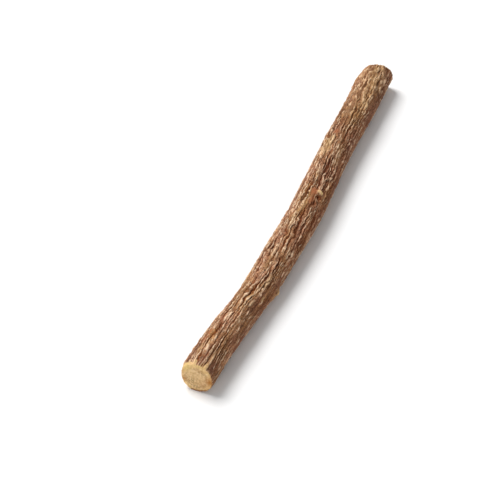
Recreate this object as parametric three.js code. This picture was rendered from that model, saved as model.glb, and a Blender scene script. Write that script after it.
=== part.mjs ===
// A stick of licorice root: one length of dried root, sawn across at both ends and lying on its side.
// Millimetres, +Z up. X runs along the root, from its thinner sawn end at -X to its thicker one at +X.
// The origin is the bottom centre of the root's box, on the surface that it lies on.

import * as THREE from "three";
import { mergeVertices } from "three/addons/utils/BufferGeometryUtils.js";

// Driving dimensions, in millimetres and degrees
const LENGTH = 175;

// Mean radius and sideways bow of the root, at even steps from the -X end to the +X end
const RADII = [6.2, 6.15, 5.8, 6.2, 6.2, 6.2, 6.35, 6.4, 6.3];
const BOW = [0, -0.8, -2.8, -3.4, -3.6, -2.3, -0.8, -0.5, 0.5];

// How far the underside is pressed flat against the surface that the root lies on
const CONTACT_DEPTH = 0.4;

// Each saw cut leans from square: along the root as it goes up, and as it goes towards -Y. The lean fades
// out along the fade length
const NEAR_CUT = { upDegrees: 8, sideDegrees: 0 };
const FAR_CUT = { upDegrees: -4, sideDegrees: 17 };
const CUT_FADE = 14;
const RIM_ROUND = 0.5;

// Lengthways swellings and shrinkage furrows: how many go round the root, how high each set stands,
// where it starts and how far it winds round on the way to the other end
const RIDGE_SETS = [
  { count: 2, height: 0.14, start: 0.6, turns: 0.1 },
  { count: 3, height: 0.12, start: 2.1, turns: 0.16 },
  { count: 5, height: 0.11, start: 4.4, turns: -0.22 },
  { count: 8, height: 0.1, start: 1.2, turns: 0.3 },
  { count: 12, height: 0.12, start: 3.3, turns: -0.14 },
];

// A rootlet scar, a torn bark ledge and a knuckle near the thick end. Their place is measured along the
// root from the -X end and round it from the top towards -Y
const BUMPS = [
  { name: "rootlet scar", along: 97, round: 27, height: 0.55, length: 3.2, width: 2.2 },
  { name: "bark ledge", along: 50, round: 104, height: 0.6, length: 3.0, width: 2.6 },
  { name: "knuckle", along: 150.5, round: 35, height: 0.5, length: 4.5, width: 2.4 },
];

// Fineness of the faceted surface
const SIDES = 44;
const STATIONS = 58;

const BARK = new THREE.MeshStandardMaterial({
  name: "bark",
  color: 0x8a6244,
  roughness: 0.85,
  metalness: 0,
});

// A smooth curve through values that stand at even steps, read at a share of the length from 0 to 1
function profile(values) {
  const curve = new THREE.SplineCurve(values.map((value, step) => new THREE.Vector2(step, value)));
  return (share) => curve.getPoint(share).y;
}

const meanRadius = profile(RADII);
const bow = profile(BOW);

// Height of the ridges at a share of the length and an angle round the root from +Y towards +Z
function ridgeHeight(share, angle) {
  return RIDGE_SETS.reduce((height, set) => {
    const phase = set.start + 2 * Math.PI * set.turns * share;
    return height + set.height * Math.cos(set.count * angle + phase);
  }, 0);
}

// Height that the scars and knuckles add, each a smooth mound
function bumpHeight(share, angle) {
  return BUMPS.reduce((height, bump) => {
    const middle = Math.PI / 2 + THREE.MathUtils.degToRad(bump.round);
    const turn = Math.atan2(Math.sin(angle - middle), Math.cos(angle - middle));
    const along = (share * LENGTH - bump.along) / bump.length;
    const across = (turn * meanRadius(share)) / bump.width;
    return height + bump.height * Math.exp(-(along * along + across * across));
  }, 0);
}

// Shares of the length at which rings stand: one just inside each sawn face, and even steps between
function stationShare(ring) {
  const rim = RIM_ROUND / LENGTH;
  if (ring === 0 || ring === STATIONS) return ring / STATIONS;
  return rim + ((1 - 2 * rim) * (ring - 1)) / (STATIONS - 2);
}

// How far a leaning cut lies along the root, at a height above its middle and a distance towards -Y
function leanShift(cut, height, side) {
  const { degToRad } = THREE.MathUtils;
  return height * Math.tan(degToRad(cut.upDegrees)) + side * Math.tan(degToRad(cut.sideDegrees));
}

// How far the two saw cuts carry a point of the root along it
function cutShift(share, height, side) {
  const nearFade = Math.max(0, 1 - (share * LENGTH) / CUT_FADE);
  const farFade = Math.max(0, 1 - ((1 - share) * LENGTH) / CUT_FADE);
  return nearFade * leanShift(NEAR_CUT, height, side) + farFade * leanShift(FAR_CUT, height, side);
}

// A plain round bar becomes the root: each of its points is moved to its place on the grown surface
function rootGeometry() {
  const bar = new THREE.CylinderGeometry(1, 1, 1, SIDES, STATIONS);
  bar.deleteAttribute("normal");
  bar.deleteAttribute("uv");
  const geometry = mergeVertices(bar);
  const points = geometry.getAttribute("position");
  const point = new THREE.Vector3();
  for (let i = 0; i < points.count; i += 1) {
    point.fromBufferAttribute(points, i);
    const ring = Math.round((0.5 - point.y) * STATIONS);
    const share = stationShare(ring);
    const rimInset = ring === 0 || ring === STATIONS ? RIM_ROUND : 0;
    const outward = Math.hypot(point.x, point.z);
    const angle = Math.atan2(point.z, point.x);
    const middle = meanRadius(share) - CONTACT_DEPTH;
    const reach = meanRadius(share) + ridgeHeight(share, angle) + bumpHeight(share, angle) - rimInset;
    const rise = outward * reach * Math.sin(angle);
    const side = -outward * reach * Math.cos(angle);
    points.setXYZ(
      i,
      (share - 0.5) * LENGTH + cutShift(share, rise, side),
      bow(share) - side,
      Math.max(0, middle + rise),
    );
  }
  return geometry;
}

// Moves the root so that the middle of its box stands over the origin
function centred(geometry) {
  geometry.computeBoundingBox();
  const middle = geometry.boundingBox.getCenter(new THREE.Vector3());
  return geometry.translate(-middle.x, -middle.y, 0);
}

const root = new THREE.Mesh(centred(rootGeometry()), BARK);
root.name = "licorice_root";

const stick = new THREE.Group();
stick.add(root);

export default stick;
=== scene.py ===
"""Looks of a dried licorice root stick: its furrowed bark, its two sawn ends and a small studio.

Lengths are in metres, apart from those of single bark marks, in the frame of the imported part: X along the
root, Z up from the surface that it lies on. Angles round the root are counted from its top towards -Y.
"""

import logging
import math
from dataclasses import dataclass
from enum import Enum

import bpy
import numpy as np
from mathutils import Color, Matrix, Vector, noise


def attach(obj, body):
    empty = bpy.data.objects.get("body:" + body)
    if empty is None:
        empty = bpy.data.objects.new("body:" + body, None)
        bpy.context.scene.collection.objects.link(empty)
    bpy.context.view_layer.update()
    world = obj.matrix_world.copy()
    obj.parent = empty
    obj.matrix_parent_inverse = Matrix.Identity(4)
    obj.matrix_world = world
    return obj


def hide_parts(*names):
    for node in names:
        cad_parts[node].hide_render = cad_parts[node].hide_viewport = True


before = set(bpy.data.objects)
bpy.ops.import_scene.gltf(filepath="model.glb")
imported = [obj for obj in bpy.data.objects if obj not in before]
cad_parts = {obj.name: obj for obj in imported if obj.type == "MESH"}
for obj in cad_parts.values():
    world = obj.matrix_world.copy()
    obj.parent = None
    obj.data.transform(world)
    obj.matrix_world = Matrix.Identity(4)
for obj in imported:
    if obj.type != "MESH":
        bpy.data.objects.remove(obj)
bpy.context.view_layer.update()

MM = 0.001
NODE = "licorice_root"
BODY = "root"

# Name of the UV map that the skin is laid out flat in, for baking
BAKE_MAP = "OFBake"

# Name of the attribute that holds each point's place along and round the bark, as its lines run
COURSE = "course"

log = logging.getLogger("licorice_root")

Object = bpy.types.Object
Mesh = bpy.types.Mesh
Maps = dict["BarkMap", np.ndarray]

# A number or a colour in a material, as a node's output or as a plain value
Socket = bpy.types.NodeSocket
Number = Socket | float
Paint = Socket | str

# Colours along a scale, each with its place on it
Stops = tuple[tuple[float, str], ...]

# The values at which a smooth step starts and ends
Span = tuple[float, float]

# The size of a pattern's features along X, Y and Z
Size = tuple[float, float, float]

# Red, green, blue and opacity
Rgba = tuple[float, float, float, float]


class CutEnd(Enum):
    """A sawn end of the root. The value is the way along X that its face looks."""

    NEAR = -1
    FAR = 1


class BarkMap(Enum):
    """A number at each point of the mesh that the finish reads. The value is its attribute's name."""

    RELIEF = "relief"
    TONE = "tone"
    CREST = "crest"
    RUST = "rust"
    STRAW = "straw"
    GREY = "grey"
    SAWN = "sawn"
    STAIN = "stain"
    SPECK = "speck"
    PALE = "pale"
    RADIUS_SHARE = "radius_share"


class Trait(Enum):
    """What a mark on the bark shows. The value is the name of its share in BarkMark."""

    RUST = "rust"
    STRAW = "straw"
    GREY = "grey"
    DARK = "dark"
    SCRAPE = "scrape"
    PIT = "pit"
    BARE = "bare"


class Blend(Enum):
    """How one colour is laid over another. The value is Blender's name for it."""

    COVER = "MIX"
    DARKEN = "MULTIPLY"
    LIGHTEN = "SCREEN"
    CONTRAST = "OVERLAY"


def smooth_step(low: float, high: float, value: np.ndarray) -> np.ndarray:
    """Rises smoothly from 0 where value is low to 1 where it is high, which may be below low."""
    share = np.clip((value - low) / (high - low), 0.0, 1.0)
    return share * share * (3.0 - 2.0 * share)


def between(start: float, end: float, share: np.ndarray) -> np.ndarray:
    """Goes from start, where share is 0, to end, where it is 1."""
    return start + (end - start) * share


def noise_at(*rows: np.ndarray) -> np.ndarray:
    """Smooth noise, mostly between -0.6 and 0.6, at points given by a row for each coordinate."""
    return np.array([noise.noise(spot) for spot in np.column_stack(rows).tolist()])


def linear(colour: str) -> Rgba:
    """Turns a screen colour written as #rrggbb into the linear RGBA that shaders use."""
    on_screen = Color([int(colour[place : place + 2], 16) / 255.0 for place in (1, 3, 5)])
    return (*on_screen.from_srgb_to_scene_linear(), 1.0)


@dataclass(frozen=True)
class SawnFace:
    """Place and lean of a sawn end face.

    Attributes:
        along: X of the middle of the face.
        lean_up: How far the face moves along X for each metre up.
        lean_side: How far it moves along X for each metre towards -Y.
    """

    along: float
    lean_up: float
    lean_side: float

    @classmethod
    def measured(cls, rim: np.ndarray) -> "SawnFace":
        """Fits a plane to the face.

        Args:
            rim: Points on the face, spread evenly round it.

        Returns:
            The face through them.
        """
        along, across, up = rim.T
        terms = np.column_stack([np.ones_like(up), up - up.mean(), across.mean() - across])
        fitted, *_ = np.linalg.lstsq(terms, along, rcond=None)
        return cls(*fitted.tolist())

    def shift(self, up: np.ndarray, side: np.ndarray) -> np.ndarray:
        """How far its lean carries points along X that lie up above its middle and side towards -Y."""
        return self.lean_up * up + self.lean_side * side


@dataclass(frozen=True)
class Spine:
    """Middle line and girth of the root, at even stations from one sawn face to the other.

    Attributes:
        along: X of each station.
        middle_y: Y of the middle line there.
        middle_z: Z of the middle line there.
        radius: Mean radius there.
        faces: The two sawn faces.
    """

    along: np.ndarray
    middle_y: np.ndarray
    middle_z: np.ndarray
    radius: np.ndarray
    faces: dict[CutEnd, SawnFace]

    @classmethod
    def measured(
        cls,
        node: Object,
        spans: int,
        window: float = 2.5 * MM,
        resting: float = 0.5 * MM,
        endways: float = 0.9,
        sideways: float = 0.5,
    ) -> "Spine":
        """Measures the CAD node, by a plane fitted to each end and a circle fitted at each station.

        Args:
            node: The CAD node of the root.
            spans: How many equal spans the root's length is divided into.
            window: How far to each side of a station the skin counts.
            resting: Height below which the skin is flat, because the root rests on it.
            endways: Least X of the normal of a face that is part of a sawn end.
            sideways: Greatest X of the normal of a face that is part of the skin.

        Returns:
            The spine of that node.
        """
        mesh = node.data
        places = np.array([vertex.co for vertex in mesh.vertices])
        corners = np.array([polygon.vertices[:] for polygon in mesh.polygons])
        facing = np.array([polygon.normal.x for polygon in mesh.polygons])
        faces = {}
        for end in CutEnd:
            faces[end] = SawnFace.measured(places[np.unique(corners[facing * end.value > endways])])
        skin = places[np.unique(corners[np.abs(facing) < sideways])]
        skin = skin[skin[:, 2] > resting]
        along = np.linspace(faces[CutEnd.NEAR].along, faces[CutEnd.FAR].along, spans + 1)
        circles = [cls.circle(skin[np.abs(skin[:, 0] - station) < window]) for station in along]
        middle_y, middle_z, radius = np.array(circles).T
        return cls(along, middle_y, middle_z, radius, faces)

    @staticmethod
    def circle(ring: np.ndarray) -> tuple[float, float, float]:
        """Fits a circle across X to a ring of skin.

        Args:
            ring: Points of the skin.

        Returns:
            Y and Z of the circle's middle, and its radius.
        """
        spots = ring[:, 1:]
        terms = np.column_stack([2.0 * spots, np.ones(len(spots))])
        (y, z, rest), *_ = np.linalg.lstsq(terms, (spots**2).sum(axis=1), rcond=None)
        return y, z, math.sqrt(rest + y * y + z * z)

    def at(self, along: np.ndarray) -> tuple[np.ndarray, np.ndarray, np.ndarray]:
        """Reads Y and Z of the middle line, and the radius, at any places along X."""
        rows = (self.middle_y, self.middle_z, self.radius)
        return tuple(np.interp(along, self.along, row) for row in rows)


class Skin:
    """Points of the root before the bark grows on it, by their place along and round its middle line."""

    def __init__(self, mesh: Mesh, spine: Spine) -> None:
        """Measures a mesh of the root.

        Args:
            mesh: The mesh.
            spine: The middle line and girth of the root.
        """
        places = np.empty(len(mesh.vertices) * 3)
        mesh.vertices.foreach_get("co", places)
        self.along, self.across, self.up = places.reshape(-1, 3).T
        self.middle_y, self.middle_z, self.radius = spine.at(self.along)
        self.turn = np.arctan2(self.middle_y - self.across, self.up - self.middle_z)

        # Distance from the middle line, and the share of the radius that it is
        self.reach = np.hypot(self.across - self.middle_y, self.up - self.middle_z)
        self.share = np.clip(self.reach / self.radius, 0.0, 1.0)


@dataclass(frozen=True)
class BarkMark:
    """A single mark that stands out on the bark. Lengths are in millimetres, shares from 0 to 1.

    Attributes:
        along: Distance of its middle from the near end.
        turn: Degrees round the root from its top towards -Y.
        length: Half its length along the root.
        width: Half its width round the root.
        rise: How far it stands out of the bark, or lies in it if below 0.
        rust: Share of the reddish inner bark that it shows.
        straw: Share of the yellow fibre that it shows.
        grey: Share of the grey bloom of old bark that it shows.
        smooth: Share of the wrinkles that is missing there.
        dark: How much darker the bark is there. On the shaded flank, its lower edge and the near cut's
            lower rim this is painted shade.
        scrape: How far its crests are worn pale.
        pit: How far its hollow is darkened with painted shade.
        bare: Share of the bark that is torn off, down to the wood.
    """

    along: float
    turn: float
    length: float
    width: float
    rise: float = 0.0
    rust: float = 0.0
    straw: float = 0.0
    grey: float = 0.0
    smooth: float = 0.0
    dark: float = 0.0
    scrape: float = 0.0
    pit: float = 0.0
    bare: float = 0.0


BARK_MARKS = (
    # Broad tones: painted shade, darker and redder, on the smoother shaded flank and its lower edge; a
    # greyer light flank, darker towards its edge; a darker patch on top; a straw-coloured far end
    BarkMark(80, 92, 95, 6.0, rust=0.2, smooth=0.5, dark=0.2),
    BarkMark(87, 96, 120, 3.8, dark=0.9),
    BarkMark(20, 80, 28, 6.5, dark=0.65, smooth=0.2),
    BarkMark(147, 86, 36, 6.0, dark=0.8, smooth=0.6),
    BarkMark(66, -52, 40, 4.5, grey=0.6, smooth=0.15, dark=0.15),
    BarkMark(140, -48, 50, 5.5, dark=0.65, smooth=0.2),
    BarkMark(12, -40, 18, 3.0, dark=0.6),
    BarkMark(106, 18, 18, 4.0, dark=0.35, smooth=0.15),
    BarkMark(162, 2, 24, 6.0, rust=0.1, straw=0.4, dark=0.5),
    BarkMark(164, -62, 16, 4.0, rust=0.15, straw=0.25, dark=0.5),
    # Flats: a long one on the light side, and one at each cut
    BarkMark(141, -72, 20, 5.0, rise=-0.5),
    BarkMark(0, -118, 5.0, 5.0, rise=-0.45, smooth=0.8),
    BarkMark(175, -80, 6.0, 5.0, rise=-0.6),
    BarkMark(175.5, -5, 3.0, 7.0, rise=-0.45),
    # Near cut: bark torn back from its rim, pale splinters with furrows between them darkened with painted
    # shade, painted shadow along the lower rim, and painted shade on the right flank
    BarkMark(0, -50, 1.6, 5.0, rise=-0.25, smooth=0.4, bare=1.0),
    BarkMark(0.5, -134, 1.6, 3.6, bare=1.0),
    BarkMark(0, 180, 2.0, 6.0, dark=0.65),
    BarkMark(1.0, -16, 4.5, 4.6, scrape=1.0),
    BarkMark(0.8, -11, 1.7, 0.7, bare=1.0),
    BarkMark(4.2, -11, 3.4, 0.5, rise=0.2, scrape=1.0),
    BarkMark(0.8, 29, 2.0, 0.8, bare=1.0),
    BarkMark(5.0, 30, 4.4, 0.5, rise=0.25, straw=0.5, scrape=1.0),
    BarkMark(3.9, 5, 3.2, 0.9, rise=-0.3, smooth=0.5, pit=0.6),
    BarkMark(0.8, 17, 1.3, 0.7, rise=-0.25, pit=0.6),
    BarkMark(2.5, 50, 5.5, 2.4, dark=0.9, smooth=0.3),
    BarkMark(3.0, 78, 9.0, 3.6, dark=0.9, rust=0.15),
    BarkMark(6.0, 76, 1.3, 0.7, rise=0.3, rust=0.3, scrape=1.0),
    BarkMark(3.3, 83, 1.4, 0.6, rise=0.3, scrape=1.0),
    # Far cut: a pale scrape, and worn crests underneath
    BarkMark(172.5, 24, 1.4, 0.9, straw=0.9, scrape=1.0),
    BarkMark(174, 180, 3.5, 8.0, scrape=0.8),
    # Reddish rubbed patches by the near end
    BarkMark(13.5, -30, 2.4, 1.0, rust=0.7, smooth=0.4),
    BarkMark(17.5, -29, 2.4, 0.8, rust=0.6, smooth=0.3),
    BarkMark(8.5, -25, 2.6, 1.3, rust=0.2, straw=0.5, smooth=0.5),
    BarkMark(10, -13, 3.0, 1.0, scrape=0.8),
    BarkMark(20.5, -28, 1.6, 0.9, rust=0.3, scrape=1.0),
    # Torn ledge of bark on the shaded side, steep towards the far end
    BarkMark(48, 104, 2.6, 1.7, rise=0.45, straw=0.3),
    BarkMark(50.2, 104, 1.2, 1.5, rise=0.6, straw=1.0, scrape=0.6),
    BarkMark(53, 105, 1.4, 1.8, rise=-0.35, smooth=0.5),
    # Crests scraped pale
    BarkMark(30, 18, 3.2, 0.7, rise=0.15, scrape=1.0),
    BarkMark(35.5, 32, 1.5, 0.6, straw=0.4, scrape=1.0),
    BarkMark(36.5, -14, 3.5, 1.5, scrape=1.0),
    BarkMark(48, 33, 4.2, 0.6, rise=0.2, straw=0.6, scrape=1.0),
    BarkMark(41, 55, 1.2, 0.6, straw=0.9, rust=0.3),
    BarkMark(64.5, -3, 6.0, 0.7, rise=0.2, scrape=1.0),
    BarkMark(78, -5, 3.0, 0.7, rise=0.15, straw=0.3, scrape=1.0),
    BarkMark(102, -7, 1.6, 0.6, rise=0.15, scrape=1.0),
    BarkMark(142, -9, 2.5, 1.4, scrape=1.0),
    BarkMark(160, -27, 2.5, 0.8, scrape=1.0),
    BarkMark(24, -10, 2.0, 1.0, scrape=1.0),
    BarkMark(89, -39, 2.5, 0.9, scrape=0.9),
    BarkMark(108, -4, 2.5, 1.2, scrape=0.9),
    BarkMark(119.5, 32, 2.5, 0.8, scrape=0.9),
    BarkMark(156, 40, 1.6, 0.6, scrape=1.0),
    BarkMark(161, 39, 2.4, 0.6, rise=0.15, scrape=1.0),
    BarkMark(168.5, 29, 2.6, 0.6, rise=0.15, scrape=1.0),
    BarkMark(157.5, 17, 1.6, 0.7, scrape=1.0),
    # Rootlet scar: a nub with a pale broken tip, a reddish oval beside it, and pits below it darkened with
    # painted shadow
    BarkMark(97.2, 31, 0.8, 1.4, rise=1.1, smooth=1.0, scrape=1.0, bare=0.8),
    BarkMark(96.5, 9, 2.0, 1.2, rise=0.15, rust=1.0, smooth=0.8),
    BarkMark(92, 13, 1.8, 1.0, rust=0.7, smooth=0.6),
    BarkMark(94.9, 33, 1.3, 1.0, rise=-0.5, pit=1.0),
    BarkMark(91.5, 28, 1.2, 0.7, rise=-0.4, pit=1.0),
    # Yellowish healed scar, with a reddish spot and a pit beside it darkened with painted shade
    BarkMark(123, -22, 6.5, 2.0, rise=-0.15, straw=0.6, smooth=0.2),
    BarkMark(126, -10, 2.4, 0.5, rise=0.25, straw=0.6, scrape=1.0),
    BarkMark(130.5, -12, 1.5, 1.1, rust=0.9, smooth=0.5),
    BarkMark(128, -33, 1.2, 0.8, rise=-0.4, pit=0.9),
    # Knuckle with a pale crest beside the smooth shaded side
    BarkMark(150, 35, 2.2, 0.9, rise=0.45, straw=0.8, scrape=0.8),
    BarkMark(153, 58, 5.0, 1.6, rise=-0.3, smooth=0.8),
)


@dataclass(frozen=True)
class FaceMark:
    """A single mark on a sawn face. Its place and size are in shares of the face's radius.

    Attributes:
        end: Which face.
        up: How far its middle lies above the middle of the face.
        side: How far it lies towards -Y.
        height: Half its height.
        width: Half its width.
        stain: How much orange-brown stain it shows, from 0 to 1.
        speck: How thick its dark specks stand, from 0 to 1.
        pale: How much paler the wood is there, from 0 to 1.
    """

    end: CutEnd
    up: float
    side: float
    height: float
    width: float
    stain: float = 0.0
    speck: float = 0.0
    pale: float = 0.0


FACE_MARKS = (
    FaceMark(CutEnd.NEAR, 0.0, 0.84, 0.36, 0.26, stain=1.0),
    FaceMark(CutEnd.NEAR, -0.4, 0.5, 0.4, 0.5, stain=0.3),
    FaceMark(CutEnd.NEAR, -0.27, -0.74, 0.16, 0.16, stain=0.8),
    FaceMark(CutEnd.NEAR, 0.2, -0.9, 0.25, 0.16, stain=0.35),
    FaceMark(CutEnd.NEAR, -0.86, 0.12, 0.16, 0.4, stain=0.35),
    FaceMark(CutEnd.NEAR, 0.6, 0.3, 0.25, 0.5, stain=0.2),
    FaceMark(CutEnd.NEAR, -0.26, -0.34, 0.25, 0.3, speck=1.0),
    FaceMark(CutEnd.NEAR, -0.6, 0.02, 0.22, 0.36, speck=1.0),
    FaceMark(CutEnd.NEAR, 0.45, 0.3, 0.14, 0.3, speck=0.6),
    FaceMark(CutEnd.NEAR, 0.6, -0.66, 0.32, 0.3, pale=1.0),
    FaceMark(CutEnd.NEAR, 0.9, 0.1, 0.16, 0.5, pale=0.5),
    FaceMark(CutEnd.FAR, 0.3, -0.76, 0.3, 0.18, stain=0.8),
    FaceMark(CutEnd.FAR, -0.64, 0.46, 0.15, 0.2, stain=0.6),
    FaceMark(CutEnd.FAR, -0.1, 0.45, 0.35, 0.2, speck=1.0),
    FaceMark(CutEnd.FAR, 0.5, -0.1, 0.18, 0.35, speck=0.7),
    FaceMark(CutEnd.FAR, 0.62, 0.6, 0.25, 0.3, pale=1.0),
)


@dataclass(frozen=True)
class Grain:
    """A noise pattern stretched along the root.

    Attributes:
        length: Size of its features along the root.
        spacing: Size of its features round the root.
        strength: What its noise, mostly between -0.6 and 0.6, is multiplied by.
        seed: Which of many such patterns it is.
    """

    length: float
    spacing: float
    strength: float
    seed: int


@dataclass
class BarkRelief:
    """Wrinkles, furrows and marks of the bark, as heights over the smooth root.

    Attributes:
        distance: Distance of each point from the near end.
        turn: Angle of each point round the root, in radians.
        girth: Mean radius of the root, which sets the scale round it.
        twist: How far the lines wind round the root for each metre along it.
        wrinkles: How many regular wrinkles go round the root.
        line_height: Height of the lines.
        furrow_depth: Depth of the dark furrows between them.
        crest_height: Height of the worn crests on them.
        crust_height: Height of the short breaks across them.
    """

    distance: np.ndarray
    turn: np.ndarray
    girth: float
    twist: float = 0.03
    wrinkles: int = 34
    line_height: float = 0.32 * MM
    furrow_depth: float = 0.25 * MM
    crest_height: float = 0.18 * MM
    crust_height: float = 0.2 * MM

    # How the lines stray: together, each by itself, and over a long stretch
    wave: Grain = Grain(3.2 * MM, 3.2 * MM, 0.55 * MM, seed=1)
    jag: Grain = Grain(1.3 * MM, 1.0 * MM, 0.55 * MM, seed=2)
    wander: Grain = Grain(28 * MM, 9 * MM, 1.2 * MM, seed=3)

    # How the wrinkles close up and spread out, and where they show
    drift: Grain = Grain(22 * MM, 2.6 * MM, 1.3, seed=7)
    fine_drift: Grain = Grain(9 * MM, 1.3 * MM, 0.5, seed=8)
    patch: Grain = Grain(20 * MM, 5 * MM, 1.0, seed=14)

    # The lines between them, and the pebbles that take their place by the far end
    line: Grain = Grain(15 * MM, 0.5 * MM, 0.65, seed=9)
    hairline: Grain = Grain(7 * MM, 0.33 * MM, 0.4, seed=10)
    pebble: Grain = Grain(2.6 * MM, 0.65 * MM, 0.7, seed=11)

    # Where the lines break, the short breaks across them, and where single crests are worn
    dash: Grain = Grain(2.0 * MM, 0.8 * MM, 1.0, seed=12)
    crust: Grain = Grain(1.1 * MM, 0.5 * MM, 1.0, seed=13)
    fleck: Grain = Grain(3.0 * MM, 0.6 * MM, 1.0, seed=15)

    # Broad swellings, glimpses of the inner bark, ragged edges of marks, and splinters of wood
    swell: Grain = Grain(22 * MM, 4.5 * MM, 0.3 * MM, seed=5)
    blush: Grain = Grain(5 * MM, 1.6 * MM, 1.0, seed=6)
    ragged: Grain = Grain(1.6 * MM, 0.8 * MM, 0.5, seed=4)
    splinter: Grain = Grain(3 * MM, 1.4 * MM, 1.0, seed=21)

    # Distances over which lines come to sway, furrows deepen, and lines grow bold and turn to pebbles
    sway_from: Span = (8 * MM, 45 * MM)
    deep_from: Span = (4 * MM, 24 * MM)
    bold_from: Span = (30 * MM, 70 * MM)
    pebbly_from: Span = (128 * MM, 160 * MM)

    # Heights of the lines over which a ridge, a crest and a furrow set in
    ridge_at: Span = (-0.1, 0.25)
    crest_at: Span = (0.1, 0.36)
    furrow_at: Span = (-0.1, -0.44)

    # Values of a pattern over which wrinkles, whole furrows, whole crests, flecks and inner bark show
    wrinkle_at: Span = (-0.35, 0.2)
    furrow_runs: Span = (-0.3, 0.2)
    crest_runs: Span = (-0.1, 0.2)
    fleck_at: Span = (0.22, 0.4)
    blush_at: Span = (0.3, 0.55)

    # Least share that stays of the sway, of a furrow, of a crest and of straw, where they are weakest
    least_sway: float = 0.55
    least_furrow: float = 0.6
    least_crest: float = 0.3
    least_straw: float = 0.35

    # How bold the lines are by the near end and beyond, what wrinkles add to them, what pebbles take away
    boldness: Span = (0.8, 1.1)
    wrinkle_share: float = 0.4
    pebble_loss: float = 0.45

    # How far breaks cut crests up, how much inner bark shows by itself, and how far a dark mark darkens,
    # painted shade included
    crust_share: float = 0.3
    blush_share: float = 0.05
    dark_share: float = 0.8

    # How sharp the edges of marks are, and how far apart the noises of two seeds are taken
    edge_power: float = 1.5
    seed_step: float = 37.0

    def __post_init__(self) -> None:
        """Bends the pattern, so that its lines wave and wander as they run along the root."""
        self.bent = self.turn
        sway = between(self.least_sway, 1.0, smooth_step(*self.sway_from, self.distance))
        shift = sway * (self.noise(self.wave) + self.noise(self.jag)) + self.noise(self.wander)
        self.bent = self.turn + (shift + self.twist * self.distance) / self.girth

    def noise(self, grain: Grain) -> np.ndarray:
        """Works out a noise pattern, which closes round the root without a seam.

        Args:
            grain: The pattern.

        Returns:
            A number at each point.
        """
        ring = self.girth / grain.spacing
        shift = self.seed_step * grain.seed
        around = (ring * np.cos(self.bent) + shift, ring * np.sin(self.bent) + shift)
        return grain.strength * noise_at(self.distance / grain.length + shift, *around)

    def course(self, along: np.ndarray) -> np.ndarray:
        """Places the points, from the X of each, on a straight root whose bark has straight lines."""
        return np.column_stack([along, self.girth * np.cos(self.bent), self.girth * np.sin(self.bent)])

    def lines(self) -> np.ndarray:
        """Works out the run of the wrinkles and lines.

        Returns:
            A number at each point, above 0 on a ridge and below 0 beside it.
        """
        drift = self.noise(self.drift) + self.noise(self.fine_drift)
        wrinkle = np.cos(self.wrinkles * self.bent + 2.0 * math.pi * drift)
        wrinkle *= self.wrinkle_share * smooth_step(*self.wrinkle_at, self.noise(self.patch))
        lines = self.noise(self.line) + self.noise(self.hairline) + wrinkle
        lines *= between(*self.boldness, smooth_step(*self.bold_from, self.distance))
        pebbly = smooth_step(*self.pebbly_from, self.distance)
        return lines + pebbly * (self.noise(self.pebble) - self.pebble_loss * lines)

    def mark_share(self, mark: BarkMark, edge: np.ndarray) -> np.ndarray:
        """How much of a mark each point has, from 0 to 1.

        Args:
            mark: The mark.
            edge: How far the raggedness of its edge keeps each point out of it.

        Returns:
            The share at each point.
        """
        along = (self.distance - mark.along * MM) / (mark.length * MM)
        apart = self.turn - math.radians(mark.turn)
        across = self.girth * np.arctan2(np.sin(apart), np.cos(apart)) / (mark.width * MM)
        return np.exp(-np.power(along * along + across * across + edge, self.edge_power))

    def lay_marks(self) -> dict[Trait, np.ndarray]:
        """Lays the marks on the bark. Keeps how calm they leave it as calm, and how high as level.

        Returns:
            How much of each trait every point shows, from 0 to 1.
        """
        edge = np.abs(self.noise(self.ragged))
        self.calm = np.ones_like(self.turn)
        self.level = self.noise(self.swell)
        shown = {trait: np.zeros_like(self.turn) for trait in Trait}
        for mark in BARK_MARKS:
            share = self.mark_share(mark, edge)
            self.calm *= 1.0 - mark.smooth * share
            self.level += mark.rise * MM * share
            for trait, values in shown.items():
                np.maximum(values, getattr(mark, trait.value) * share, out=values)
        return shown

    def build(self) -> Maps:
        """Works out the bark's maps, and keeps its height as height and where it is torn off as bare.

        Returns:
            The bark maps, each from 0 to 1, apart from the tone, which dark marks take below 0. The relief
            map and the tone carry painted shade.
        """
        lines, shown = self.lines(), self.lay_marks()
        calm, pit = self.calm, shown[Trait.PIT]
        dash, crust = self.noise(self.dash), self.noise(self.crust)
        furrow = smooth_step(*self.furrow_at, lines)
        furrow *= between(self.least_furrow, 1.0, smooth_step(*self.furrow_runs, dash))
        furrow *= between(self.least_furrow, 1.0, smooth_step(*self.deep_from, self.distance))
        # Pits join the furrows, which the finish darkens with painted shade
        furrow = np.maximum(furrow * calm, pit)
        ridge = smooth_step(*self.ridge_at, lines)
        crest = smooth_step(*self.crest_at, lines) * between(self.least_crest, 1.0, calm)
        crest *= smooth_step(*self.crest_runs, dash + self.crust_share * crust)
        scraped = shown[Trait.SCRAPE] * (1.0 - calm * (1.0 - ridge))
        fleck = smooth_step(*self.fleck_at, self.noise(self.fleck)) * ridge
        crest = np.maximum.reduce([crest, scraped, fleck]) * (1.0 - pit)
        blush = self.blush_share * smooth_step(*self.blush_at, self.noise(self.blush))

        # Three quarters of the bark stays inside the smooth root, so that the root keeps its size
        height = calm * (self.line_height * lines + self.crust_height * crust)
        height += self.crest_height * crest - self.furrow_depth * furrow
        self.height = height + self.level - np.percentile(height, 75.0)
        self.bare = shown[Trait.BARE]
        # Painted shade: the relief map darkens furrows and pits, and the tone takes the dark marks
        return {
            BarkMap.RELIEF: 1.0 - furrow,
            BarkMap.TONE: 0.5 + 0.5 * np.tanh(2.0 * calm * lines) - self.dark_share * shown[Trait.DARK],
            BarkMap.CREST: crest,
            BarkMap.RUST: np.maximum(blush, shown[Trait.RUST]),
            BarkMap.STRAW: shown[Trait.STRAW] * between(self.least_straw, 1.0, ridge),
            BarkMap.GREY: shown[Trait.GREY],
        }


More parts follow.
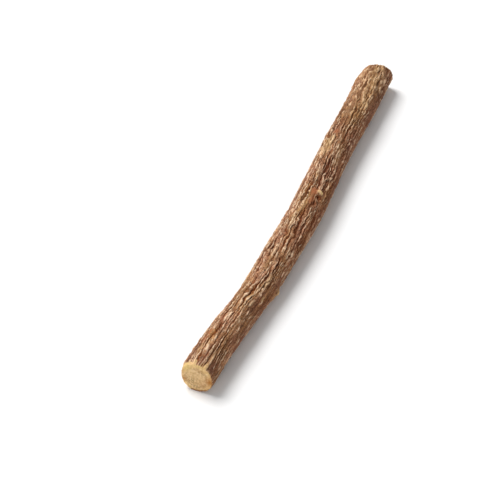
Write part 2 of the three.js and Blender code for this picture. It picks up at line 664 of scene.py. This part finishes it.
class Shader:
    """A material under construction, with short ways to add its nodes."""

    def __init__(self, name: str) -> None:
        """Makes an empty node material.

        Args:
            name: Name of the material.
        """
        self.material = bpy.data.materials.new(name)
        self.material.use_nodes = True
        self.tree = self.material.node_tree
        self.surface = self.tree.nodes["Principled BSDF"]
        self.place = self.tree.nodes.new("ShaderNodeTexCoord").outputs["Object"]

    def join(self, value: Number | Rgba, socket: Socket) -> None:
        """Links an output to a socket, or sets the socket to a plain value.

        Args:
            value: A node's output, a colour or a number.
            socket: The socket that takes it.
        """
        if isinstance(value, Socket):
            self.tree.links.new(value, socket)
        else:
            socket.default_value = value

    def attribute(self, name: str, output: str) -> Socket:
        """Reads an attribute of the mesh.

        Args:
            name: Name of the attribute.
            output: Fac for a number, Vector for three.

        Returns:
            The output that holds it.
        """
        node = self.tree.nodes.new("ShaderNodeAttribute")
        node.attribute_name = name
        return node.outputs[output]

    def bark_map(self, name: BarkMap) -> Socket:
        """Reads one of the maps that were left on the mesh."""
        return self.attribute(name.value, "Fac")

    def course(self) -> Socket:
        """Reads each point's place along and round the bark, as its lines run."""
        return self.attribute(COURSE, "Vector")

    def grain(self, size: Size, detail: float = 3.0, place: Socket | None = None) -> Socket:
        """Noise with features of a given size along X, Y and Z.

        Args:
            size: Feature sizes.
            detail: How many finer layers it has.
            place: Coordinates to use instead of Object coordinates.

        Returns:
            A number around 0.5.
        """
        mapping = self.tree.nodes.new("ShaderNodeMapping")
        mapping.inputs["Scale"].default_value = [1.0 / side for side in size]
        self.join(self.place if place is None else place, mapping.inputs["Vector"])
        texture = self.tree.nodes.new("ShaderNodeTexNoise")
        texture.inputs["Scale"].default_value = 1.0
        texture.inputs["Detail"].default_value = detail
        texture.inputs["Roughness"].default_value = 0.55
        self.join(mapping.outputs["Vector"], texture.inputs["Vector"])
        return texture.outputs["Fac"]

    def spread(self, value: Socket, span: Span) -> Socket:
        """Stretches a span of values to 0 to 1, smoothly and clamped.

        Args:
            value: The numbers.
            span: The numbers that become 0 and 1.

        Returns:
            The stretched numbers.
        """
        node = self.tree.nodes.new("ShaderNodeMapRange")
        node.interpolation_type = "SMOOTHSTEP"
        self.join(value, node.inputs["Value"])
        node.inputs["From Min"].default_value, node.inputs["From Max"].default_value = span
        return node.outputs["Result"]

    def ramp(self, value: Socket, stops: Stops) -> Socket:
        """Colours along a scale.

        Args:
            value: Where on the scale, from 0 to 1.
            stops: Places on the scale and their colours.

        Returns:
            The colour there.
        """
        node = self.tree.nodes.new("ShaderNodeValToRGB")
        elements = node.color_ramp.elements
        for _ in range(len(stops) - 2):
            elements.new(0.5)
        for element, (place, colour) in zip(elements, stops):
            element.position = place
            element.color = linear(colour)
        self.join(value, node.inputs["Fac"])
        return node.outputs["Color"]

    def mix(self, share: Number, base: Paint, top: Paint, blend: Blend = Blend.COVER) -> Socket:
        """Lays one colour over another.

        Args:
            share: How much of the top colour.
            base: The colour below, as an output or #rrggbb.
            top: The colour above, as an output or #rrggbb.
            blend: How the two blend.

        Returns:
            The mixed colour.
        """
        node = self.tree.nodes.new("ShaderNodeMix")
        node.data_type = "RGBA"
        node.blend_type = blend.value
        self.join(share, node.inputs["Factor"])
        for colour, name in ((base, "A"), (top, "B")):
            socket = next(s for s in node.inputs if s.name == name and s.type == "RGBA")
            self.join(linear(colour) if isinstance(colour, str) else colour, socket)
        return next(s for s in node.outputs if s.type == "RGBA")

    def math(self, operation: str, first: Number, second: Number) -> Socket:
        """Arithmetic on two numbers.

        Args:
            operation: Blender's name for it.
            first: The first number.
            second: The second number.

        Returns:
            The result.
        """
        node = self.tree.nodes.new("ShaderNodeMath")
        node.operation = operation
        self.join(first, node.inputs[0])
        self.join(second, node.inputs[1])
        return node.outputs["Value"]

    def plus(self, first: Number, second: Number) -> Socket:
        """Adds two numbers."""
        return self.math("ADD", first, second)

    def times(self, first: Number, second: Number) -> Socket:
        """Multiplies two numbers."""
        return self.math("MULTIPLY", first, second)

    def weigh(self, first: Socket, second: Socket, share: float) -> Socket:
        """Averages two numbers, with a share of the second."""
        return self.plus(self.times(first, 1.0 - share), self.times(second, share))

    def bump(self, height: Socket, distance: float, strength: float) -> None:
        """Adds fine relief to the shading.

        Args:
            height: Height from 0 to 1.
            distance: What a height of 1 stands for.
            strength: How strong the relief shows.
        """
        node = self.tree.nodes.new("ShaderNodeBump")
        node.inputs["Distance"].default_value = distance
        node.inputs["Strength"].default_value = strength
        self.join(height, node.inputs["Height"])
        self.join(node.outputs["Normal"], self.surface.inputs["Normal"])


@dataclass(frozen=True)
class BarkFinish:
    """Colours of the dry bark, and the patterns that they follow."""

    # The bark's own colours; the painted shade that darkens its furrows and pits; and what its finest grain
    # and its broad patches lay over them
    ground: Stops = ((0.1, "#6b4a35"), (0.4, "#886145"), (0.62, "#9d7656"), (0.9, "#aa8c70"))
    furrow_shade: Stops = ((0.0, "#9c6840"), (0.5, "#d0aa84"), (1.0, "#ffffff"))
    fibre: Stops = ((0.34, "#544c46"), (0.5, "#bcbab8"), (0.66, "#fcfaf8"))
    tint: Stops = ((0.36, "#beb9c4"), (0.64, "#bcbdad"))

    # Worn crests, inner bark, yellow fibre, and what lightens old bark
    crest: str = "#f0d0ae"
    rust: str = "#a5623f"
    straw: str = "#dcb680"
    grey: str = "#4a423c"

    # Threads along the bark, crumbs that break them, clouds of tone, broad patches, and breaks in a crest
    thread: Size = (5 * MM, 0.4 * MM, 0.4 * MM)
    crumb: Size = (0.45 * MM, 0.4 * MM, 0.4 * MM)
    cloud: Size = (14 * MM, 3 * MM, 3 * MM)
    patch: Size = (16 * MM, 5 * MM, 5 * MM)
    worn: Size = (1.6 * MM, 0.5 * MM, 0.5 * MM)

    # Values over which a cloud turns light, a crest holds, and old bark turns grey
    cloud_at: Span = (0.25, 0.75)
    worn_at: Span = (0.3, 0.58)
    bloom_at: Span = (0.1, 0.9)

    # Share of threads in the finest grain, of clouds in the tone, and how well marks cover the bark
    thread_share: float = 0.35
    cloud_share: float = 0.45
    crest_cover: float = 0.9
    bloom_cover: float = 0.7
    mark_cover: float = 0.8

    def fibres(self, shader: Shader) -> Socket:
        """Builds the finest grain of the bark: threads along it, and crumbs that break them.

        Args:
            shader: The material under construction.

        Returns:
            A number around 0.5.
        """
        course = shader.course()
        thread = shader.grain(self.thread, detail=2.0, place=course)
        crumb = shader.grain(self.crumb, detail=2.0, place=course)
        return shader.weigh(crumb, thread, self.thread_share)

    def colour(self, shader: Shader) -> Socket:
        """Builds the bark's colour.

        Args:
            shader: The material under construction.

        Returns:
            The colour output.
        """
        course = shader.course()
        cloud = shader.spread(shader.grain(self.cloud, detail=4.0, place=course), self.cloud_at)
        # The tone carries the dark marks: painted shade on the shaded flank and the lower rims
        tone = shader.weigh(shader.bark_map(BarkMap.TONE), cloud, self.cloud_share)
        # Painted shade: darker in the furrows and pits, by the relief map
        furrow_shade = shader.ramp(shader.bark_map(BarkMap.RELIEF), self.furrow_shade)
        bark = shader.mix(1.0, shader.ramp(tone, self.ground), furrow_shade, Blend.DARKEN)
        bark = shader.mix(1.0, bark, shader.ramp(self.fibres(shader), self.fibre), Blend.CONTRAST)
        patch = shader.grain(self.patch, place=course)
        bark = shader.mix(1.0, bark, shader.ramp(patch, self.tint), Blend.CONTRAST)
        worn = shader.spread(shader.grain(self.worn, detail=2.0, place=course), self.worn_at)
        crest = shader.times(shader.bark_map(BarkMap.CREST), worn)
        bark = shader.mix(shader.times(crest, self.crest_cover), bark, self.crest)
        bloom = shader.times(shader.bark_map(BarkMap.GREY), shader.spread(cloud, self.bloom_at))
        bark = shader.mix(shader.times(bloom, self.bloom_cover), bark, self.grey, Blend.LIGHTEN)
        for name, colour in ((BarkMap.RUST, self.rust), (BarkMap.STRAW, self.straw)):
            bark = shader.mix(shader.times(shader.bark_map(name), self.mark_cover), bark, colour)
        return bark


@dataclass(frozen=True)
class CutWoodFinish:
    """Colours of the sawn faces: pale fibre with a faint ring, stains and dark specks."""

    # From the middle of a face to its rim, and what darkens it in spots
    rings: Stops = (
        (0.0, "#dcbd90"),
        (0.5, "#d9ba8f"),
        (0.64, "#c8aa82"),
        (0.74, "#dfc090"),
        (0.92, "#e2c390"),
        (1.0, "#e4c096"),
    )
    mottle: Stops = ((0.3, "#a8946c"), (0.46, "#e0d0b4"), (0.62, "#ffffff"))
    speck: str = "#7d693e"
    stain: str = "#a06a36"
    pale: str = "#d0b474"

    # Sizes of the patterns, how far the ring waves, and how well spots and pale wood cover the face
    ring_grain: Size = (2.5 * MM,) * 3
    mottle_grain: Size = (0.8 * MM,) * 3
    speck_grain: Size = (0.5 * MM,) * 3
    stain_grain: Size = (1.0 * MM,) * 3
    ring_wander: float = 0.3
    mottle_cover: float = 0.6
    pale_cover: float = 0.8

    # Values over which a speck and a blot of a stain set in
    speck_at: Span = (0.5, 0.62)
    stain_at: Span = (0.1, 0.45)

    def colour(self, shader: Shader) -> Socket:
        """Builds the colour of the sawn wood.

        Args:
            shader: The material under construction.

        Returns:
            The colour output.
        """
        wander = shader.times(shader.plus(shader.grain(self.ring_grain), -0.5), self.ring_wander)
        wood = shader.ramp(shader.plus(shader.bark_map(BarkMap.RADIUS_SHARE), wander), self.rings)
        mottle = shader.ramp(shader.grain(self.mottle_grain), self.mottle)
        wood = shader.mix(self.mottle_cover, wood, mottle, Blend.DARKEN)
        wood = shader.mix(shader.times(shader.bark_map(BarkMap.PALE), self.pale_cover), wood, self.pale)
        specks = shader.spread(shader.grain(self.speck_grain, detail=1.0), self.speck_at)
        wood = shader.mix(shader.times(shader.bark_map(BarkMap.SPECK), specks), wood, self.speck)
        blots = shader.spread(shader.grain(self.stain_grain), self.stain_at)
        return shader.mix(shader.times(shader.bark_map(BarkMap.STAIN), blots), wood, self.stain)


@dataclass(frozen=True)
class RootFinish:
    """The root's one material: dry bark, and pale wood where it was sawn."""

    bark: BarkFinish = BarkFinish()
    wood: CutWoodFinish = CutWoodFinish()
    roughness: float = 0.82
    gloss: float = 0.1
    fibre_height: float = 0.3 * MM
    fibre_strength: float = 0.7

    def build(self) -> bpy.types.Material:
        """Builds the material.

        Returns:
            The finished material.
        """
        shader = Shader("licorice_root_finish")
        sawn = shader.bark_map(BarkMap.SAWN)
        colour = shader.mix(sawn, self.bark.colour(shader), self.wood.colour(shader))
        shader.join(colour, shader.surface.inputs["Base Color"])
        shader.surface.inputs["Roughness"].default_value = self.roughness
        shader.surface.inputs["Specular IOR Level"].default_value = self.gloss
        shader.bump(self.bark.fibres(shader), self.fibre_height, self.fibre_strength)
        return shader.material


@dataclass
class LicoriceRoot:
    """The root stick: one bowed length of root with bark all round and a sawn face at each end.

    Attributes:
        sides: Sides of the cage before it is subdivided.
        spans: Spans of the cage along the root.
        subdivisions: Times that the cage is subdivided.
        rim: Rounding of the rim of a sawn face.
        cap_rings: Rings of the cage on a sawn face, as shares of its radius.
        strips: Strips that the bark is laid out in for the bake.
        lean_fade: Distance over which the lean of a saw cut fades out.
        bark_lap: Share of the radius that the bark laps over the lower rim of a sawn face, where, with the
            painted shadow on the bark there, it makes a dark line.
        splinter: Longest reach of the pale splinters up the bark from a sawn face.
        saw_depth: Depth of the saw's marks on a sawn face.
        saw_mark: Width and height of a saw mark.
        tear: Size of the torn spots between them.
    """

    sides: int = 30
    spans: int = 42
    subdivisions: int = 3
    rim: float = 0.35 * MM
    cap_rings: tuple[float, ...] = (0.5, 0.9)
    strips: int = 4
    lean_fade: float = 14 * MM
    bark_lap: float = 0.14
    splinter: float = 2.6 * MM
    saw_depth: float = 0.08 * MM
    saw_mark: tuple[float, float] = (3.0 * MM, 0.5 * MM)
    tear: float = 1.4 * MM

    # Shares of the radius over which a face sets in, and cosines of the turn over which the underside does
    face_edge: Span = (0.985, 0.93)
    underside: Span = (-0.5, -0.85)

    # Values over which splinters set in, by pattern, by the bark's tone and by reach, and bare wood shows
    splinter_at: Span = (-0.25, 0.3)
    splinter_tone: Span = (0.4, 0.85)
    splinter_edge: Span = (0.35 * MM, -0.15 * MM)
    bare_at: Span = (0.25, 0.5)

    def build(self, node: Object) -> Object:
        """Models the root over its CAD node.

        Args:
            node: The CAD node that gives its bow, girth and ends.

        Returns:
            The finished mesh object, without its material.
        """
        self.spine = Spine.measured(node, self.spans)
        piece = self.build_cage()
        self.unwrap(piece.data)
        self.subdivide(piece)
        self.grow_bark(piece.data)
        return piece

    def rings(self) -> list[tuple[Vector, float]]:
        """Lists the cage's rings, from the middle of the near face to the middle of the far one.

        Returns:
            The middle and the radius of each ring.
        """
        spine = self.spine
        stations = [
            (Vector((x, y, z)), radius)
            for x, y, z, radius in zip(spine.along, spine.middle_y, spine.middle_z, spine.radius)
        ]
        (near, near_radius), (far, far_radius) = stations[0], stations[-1]
        inward = Vector((self.rim, 0.0, 0.0))
        start = [(near, near_radius * share) for share in self.cap_rings]
        start += [(near, near_radius - self.rim), (near + inward, near_radius)]
        finish = [(far - inward, far_radius), (far, far_radius - self.rim)]
        finish += [(far, far_radius * share) for share in reversed(self.cap_rings)]
        return start + stations[1:-1] + finish

    def build_cage(self) -> Object:
        """Extrudes a ring along the root's middle line, and closes both ends.

        Returns:
            The cage object.
        """
        rings = self.rings()
        middle, radius = rings[0]
        bpy.ops.object.select_all(action="DESELECT")
        bpy.ops.mesh.primitive_circle_add(
            vertices=self.sides,
            radius=radius,
            fill_type="TRIFAN",
            location=middle,
            rotation=(0.0, math.pi / 2.0, 0.0),
        )
        cage = bpy.context.active_object
        cage.name = "licorice_root_stick"
        bpy.ops.object.transform_apply(location=True, rotation=True, scale=True)
        bpy.ops.object.mode_set(mode="EDIT")
        bpy.ops.mesh.select_all(action="SELECT")
        bpy.ops.mesh.region_to_loop()
        for (last, last_radius), (middle, radius) in zip(rings, rings[1:]):
            bpy.ops.mesh.extrude_edges_move(TRANSFORM_OT_translate={"value": middle - last})
            growth = radius / last_radius
            bpy.ops.transform.resize(value=(1.0, growth, growth), center_override=middle)
        bpy.ops.mesh.edge_face_add()
        bpy.ops.mesh.poke()
        bpy.ops.mesh.select_all(action="SELECT")
        bpy.ops.mesh.normals_make_consistent(inside=False)
        bpy.ops.object.mode_set(mode="OBJECT")
        return cage

    def unwrap(self, mesh: Mesh) -> None:
        """Lays the skin out flat: two round faces, and the bark in strips that are cut open underneath.

        Args:
            mesh: The cage.
        """
        mesh.uv_layers.active.name = BAKE_MAP
        skin = Skin(mesh, self.spine)
        # Both rings of a rim's rounding count as bark
        on_bark = skin.reach > skin.radius - 1.2 * self.rim
        side = 2.0 * math.pi / self.sides
        below = on_bark & (np.abs(skin.turn - math.pi + side / 2.0) < side / 4.0)
        stations = np.linspace(0, self.spans, self.strips + 1).round().astype(int)
        cut_off = np.abs(skin.along[:, None] - self.spine.along[stations]) < 0.01 * MM
        cut_off &= on_bark[:, None]
        for edge in mesh.edges:
            first, second = edge.vertices
            ends_strip = (cut_off[first] & cut_off[second]).any()
            edge.use_seam = bool(ends_strip or below[first] and below[second])
        bpy.ops.object.mode_set(mode="EDIT")
        bpy.ops.mesh.select_all(action="SELECT")
        bpy.ops.uv.unwrap(method="ANGLE_BASED", margin=0.004)
        bpy.ops.object.mode_set(mode="OBJECT")

    def subdivide(self, piece: Object) -> None:
        """Rounds the cage and makes it fine enough to carry the bark.

        Args:
            piece: The cage.
        """
        fine = piece.modifiers.new("fine", "SUBSURF")
        fine.levels = fine.render_levels = self.subdivisions
        bpy.ops.object.modifier_apply(modifier=fine.name)
        bpy.ops.object.shade_smooth()

    def grow_bark(self, mesh: Mesh) -> None:
        """Grows the bark and roughens the sawn faces, and leaves their maps on the mesh.

        Args:
            mesh: The smooth root.
        """
        skin = Skin(mesh, self.spine)
        distance = skin.along - self.spine.faces[CutEnd.NEAR].along
        relief = BarkRelief(distance, skin.turn, float(self.spine.radius.mean()))
        maps = relief.build()
        on_face = smooth_step(*self.face_edge, skin.share)
        maps[BarkMap.CREST] *= 1.0 - on_face
        maps[BarkMap.SAWN] = self.sawn_share(skin, relief, maps[BarkMap.TONE])
        maps[BarkMap.RADIUS_SHARE] = skin.share
        self.move_points(mesh, skin, relief.height, on_face)
        self.keep_maps(mesh, maps | self.face_maps(skin), relief.course(skin.along))

    def sawn_share(self, skin: Skin, relief: BarkRelief, tone: np.ndarray) -> np.ndarray:
        """Works out where pale wood shows: on the sawn faces, their splinters, and where bark is torn off.

        Args:
            skin: Places of the points.
            relief: The bark.
            tone: Its tone at each point, painted shade included.

        Returns:
            How much wood each point shows, from 0 to 1.
        """
        under = smooth_step(*self.underside, np.cos(skin.turn))
        cut_wood = smooth_step(*self.face_edge, skin.share + self.bark_lap * under)
        tooth = smooth_step(*self.splinter_at, relief.noise(relief.splinter))
        reach_back = self.splinter * tooth * smooth_step(*self.splinter_tone, tone)
        from_ends = [np.abs(skin.along - face.along) for face in self.spine.faces.values()]
        from_end = np.minimum(*from_ends)
        splintered = smooth_step(*self.splinter_edge, from_end - reach_back)
        bare = smooth_step(*self.bare_at, relief.bare)
        return np.maximum.reduce([cut_wood, splintered * (1.0 - under), bare])

    def move_points(self, mesh: Mesh, skin: Skin, height: np.ndarray, on_face: np.ndarray) -> None:
        """Moves each point of the smooth root to its place on the bark or the leaning, rough sawn faces.

        Args:
            mesh: The smooth root.
            skin: Places of its points.
            height: Height of the bark at each point.
            on_face: How far each point lies on a sawn face, from 0 to 1.
        """
        # On a face the bark's height fades out fast from the rim inwards
        grown = skin.reach + np.maximum(1.0 - on_face, skin.share**6) * height
        rise, side = grown * np.cos(skin.turn), grown * np.sin(skin.turn)
        along = skin.along.copy()
        for face in self.spine.faces.values():
            leaning = np.clip(1.0 - np.abs(skin.along - face.along) / self.lean_fade, 0.0, 1.0)
            along += leaning * face.shift(rise, side)
        width, tall = self.saw_mark
        saw_marks = noise_at(skin.across / width, skin.up / tall, skin.along)
        torn = noise_at(skin.across / self.tear, skin.up / self.tear, skin.along)
        along += self.saw_depth * on_face * (saw_marks + torn)
        places = np.column_stack([along, skin.middle_y - side, np.maximum(skin.middle_z + rise, 0.0)])
        mesh.vertices.foreach_set("co", places.ravel())
        mesh.update()

    def face_maps(self, skin: Skin) -> Maps:
        """Works out where the sawn faces are stained, specked or pale.

        Args:
            skin: Places of the points.

        Returns:
            The maps of the sawn faces, each from 0 to 1.
        """
        up, side = skin.share * np.cos(skin.turn), skin.share * np.sin(skin.turn)
        maps = {name: np.zeros_like(up) for name in (BarkMap.STAIN, BarkMap.SPECK, BarkMap.PALE)}
        for mark in FACE_MARKS:
            apart = np.square((up - mark.up) / mark.height) + np.square((side - mark.side) / mark.width)
            share = np.exp(-apart) * (skin.along * mark.end.value > 0.0)
            for name, values in maps.items():
                np.maximum(values, getattr(mark, name.value) * share, out=values)
        return maps

    def keep_maps(self, mesh: Mesh, maps: Maps, course: np.ndarray) -> None:
        """Leaves the maps on the mesh for the finish to read.

        Args:
            mesh: The finished root.
            maps: Its maps.
            course: Each point's place along and round the bark, as a row of three.
        """
        for name, values in maps.items():
            attribute = mesh.attributes.new(name.value, "FLOAT", "POINT")
            attribute.data.foreach_set("value", values.astype(np.float32))
        attribute = mesh.attributes.new(COURSE, "FLOAT_VECTOR", "POINT")
        attribute.data.foreach_set("vector", course.astype(np.float32).ravel())

    def dress(self, piece: Object, finish: RootFinish) -> None:
        """Gives the root its finish and tells the frame what it is.

        Args:
            piece: The finished mesh object.
            finish: The finish to wear.
        """
        piece.data.materials.clear()
        piece.data.materials.append(finish.build())
        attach(piece, BODY)
        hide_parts(NODE)


@dataclass(frozen=True)
class SoftLight:
    """A lamp far away that lights everything evenly from one side.

    Attributes:
        name: Name of the lamp.
        comes_from: Direction that its light comes from.
        spread: Angle that it fills, in degrees, which softens its shadows.
        power: Its power, in watts for each square metre.
    """

    name: str
    comes_from: tuple[float, float, float]
    spread: float
    power: float

    def build(self) -> None:
        """Hangs the lamp."""
        way = Vector(self.comes_from).normalized()
        bpy.ops.object.light_add(type="SUN", location=way)
        lamp = bpy.context.active_object
        lamp.name = self.name
        lamp.data.angle = math.radians(self.spread)
        lamp.data.energy = self.power
        lamp.rotation_euler = way.to_track_quat("Z", "Y").to_euler()


@dataclass
class Studio:
    """A pale floor, soft light and the camera.

    Attributes:
        azimuth: Side that the camera stands on, in degrees. At 0 it looks along +Y.
        elevation: Degrees that the camera looks down.
        distance: Distance of the camera from the point it looks at.
        aim: The point that it looks at.
        lens: Focal length, in millimetres.
        floor_size: Side of the floor.
        floor_drop: How far the floor lies below the root, so that the two never share a face.
        ceiling: Strength of the light from above.
        walls: Strength of the light from the walls, near the horizon.
        wall_top: Heights, as a sine, between which the walls give way to the ceiling.
        lights: The lamps.
    """

    azimuth: float = -66.34
    elevation: float = 45.0
    distance: float = 0.75
    aim: tuple[float, float, float] = (-15.1 * MM, 17.22 * MM, -0.24 * MM)
    lens: float = 151.54
    floor_size: float = 6.0
    floor_drop: float = 0.02 * MM
    ceiling: float = 0.37
    walls: float = 0.95
    wall_top: Span = (0.1, 0.25)
    lights: tuple[SoftLight, ...] = (
        SoftLight("key_light", (0.22, 0.5, 0.71), spread=34.0, power=3.1),
        SoftLight("fill_light", (-1.0, 0.0, 0.2), spread=40.0, power=1.16),
    )

    def build(self) -> None:
        """Builds the floor, the lights and the camera."""
        self.build_floor()
        self.build_light()
        self.build_camera()
        bpy.context.scene.view_settings.view_transform = "Standard"

    def build_floor(self) -> None:
        """Lays the pale floor."""
        bpy.ops.object.select_all(action="DESELECT")
        bpy.ops.mesh.primitive_plane_add(size=self.floor_size, location=(0.0, 0.0, -self.floor_drop))
        floor = bpy.context.active_object
        floor.name = "floor"
        shader = Shader("floor_finish")
        shader.surface.inputs["Base Color"].default_value = (0.9, 0.9, 0.9, 1.0)
        shader.surface.inputs["Roughness"].default_value = 0.9
        shader.surface.inputs["Specular IOR Level"].default_value = 0.1
        floor.data.materials.append(shader.material)

    def build_light(self) -> None:
        """Lights the room from its pale walls and ceiling, and hangs the lamps."""
        world = bpy.data.worlds.new("room")
        world.use_nodes = True
        nodes, links = world.node_tree.nodes, world.node_tree.links
        parts = nodes.new("ShaderNodeSeparateXYZ")
        links.new(nodes.new("ShaderNodeTexCoord").outputs["Generated"], parts.inputs["Vector"])
        room = nodes.new("ShaderNodeMapRange")
        links.new(parts.outputs["Z"], room.inputs["Value"])
        room.inputs["From Min"].default_value, room.inputs["From Max"].default_value = self.wall_top
        room.inputs["To Min"].default_value = self.walls
        room.inputs["To Max"].default_value = self.ceiling
        links.new(room.outputs["Result"], nodes["Background"].inputs["Strength"])
        nodes["Background"].inputs["Color"].default_value = (1.0, 1.0, 1.0, 1.0)
        bpy.context.scene.world = world
        for light in self.lights:
            light.build()

    def build_camera(self) -> None:
        """Sets the camera at the photograph's angle."""
        side, rise = math.radians(self.azimuth), math.radians(self.elevation)
        level = math.cos(rise)
        back = Vector((math.sin(side) * level, -math.cos(side) * level, math.sin(rise)))
        bpy.ops.object.camera_add(location=Vector(self.aim) + back * self.distance)
        camera = bpy.context.active_object
        camera.rotation_euler = back.to_track_quat("Z", "Y").to_euler()
        camera.data.lens = self.lens
        camera.data.sensor_width = 36.0
        camera.data.clip_start = 0.01
        bpy.context.scene.camera = camera


def main() -> None:
    """Builds the root and the studio round it."""
    logging.basicConfig(level=logging.INFO, format="%(message)s")
    root = LicoriceRoot()
    stick = root.build(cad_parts[NODE])
    root.dress(stick, RootFinish())
    log.info("%s: %d faces", stick.name, len(stick.data.polygons))
    Studio().build()
    log.info("studio built")


if __name__ == "__main__":
    main()
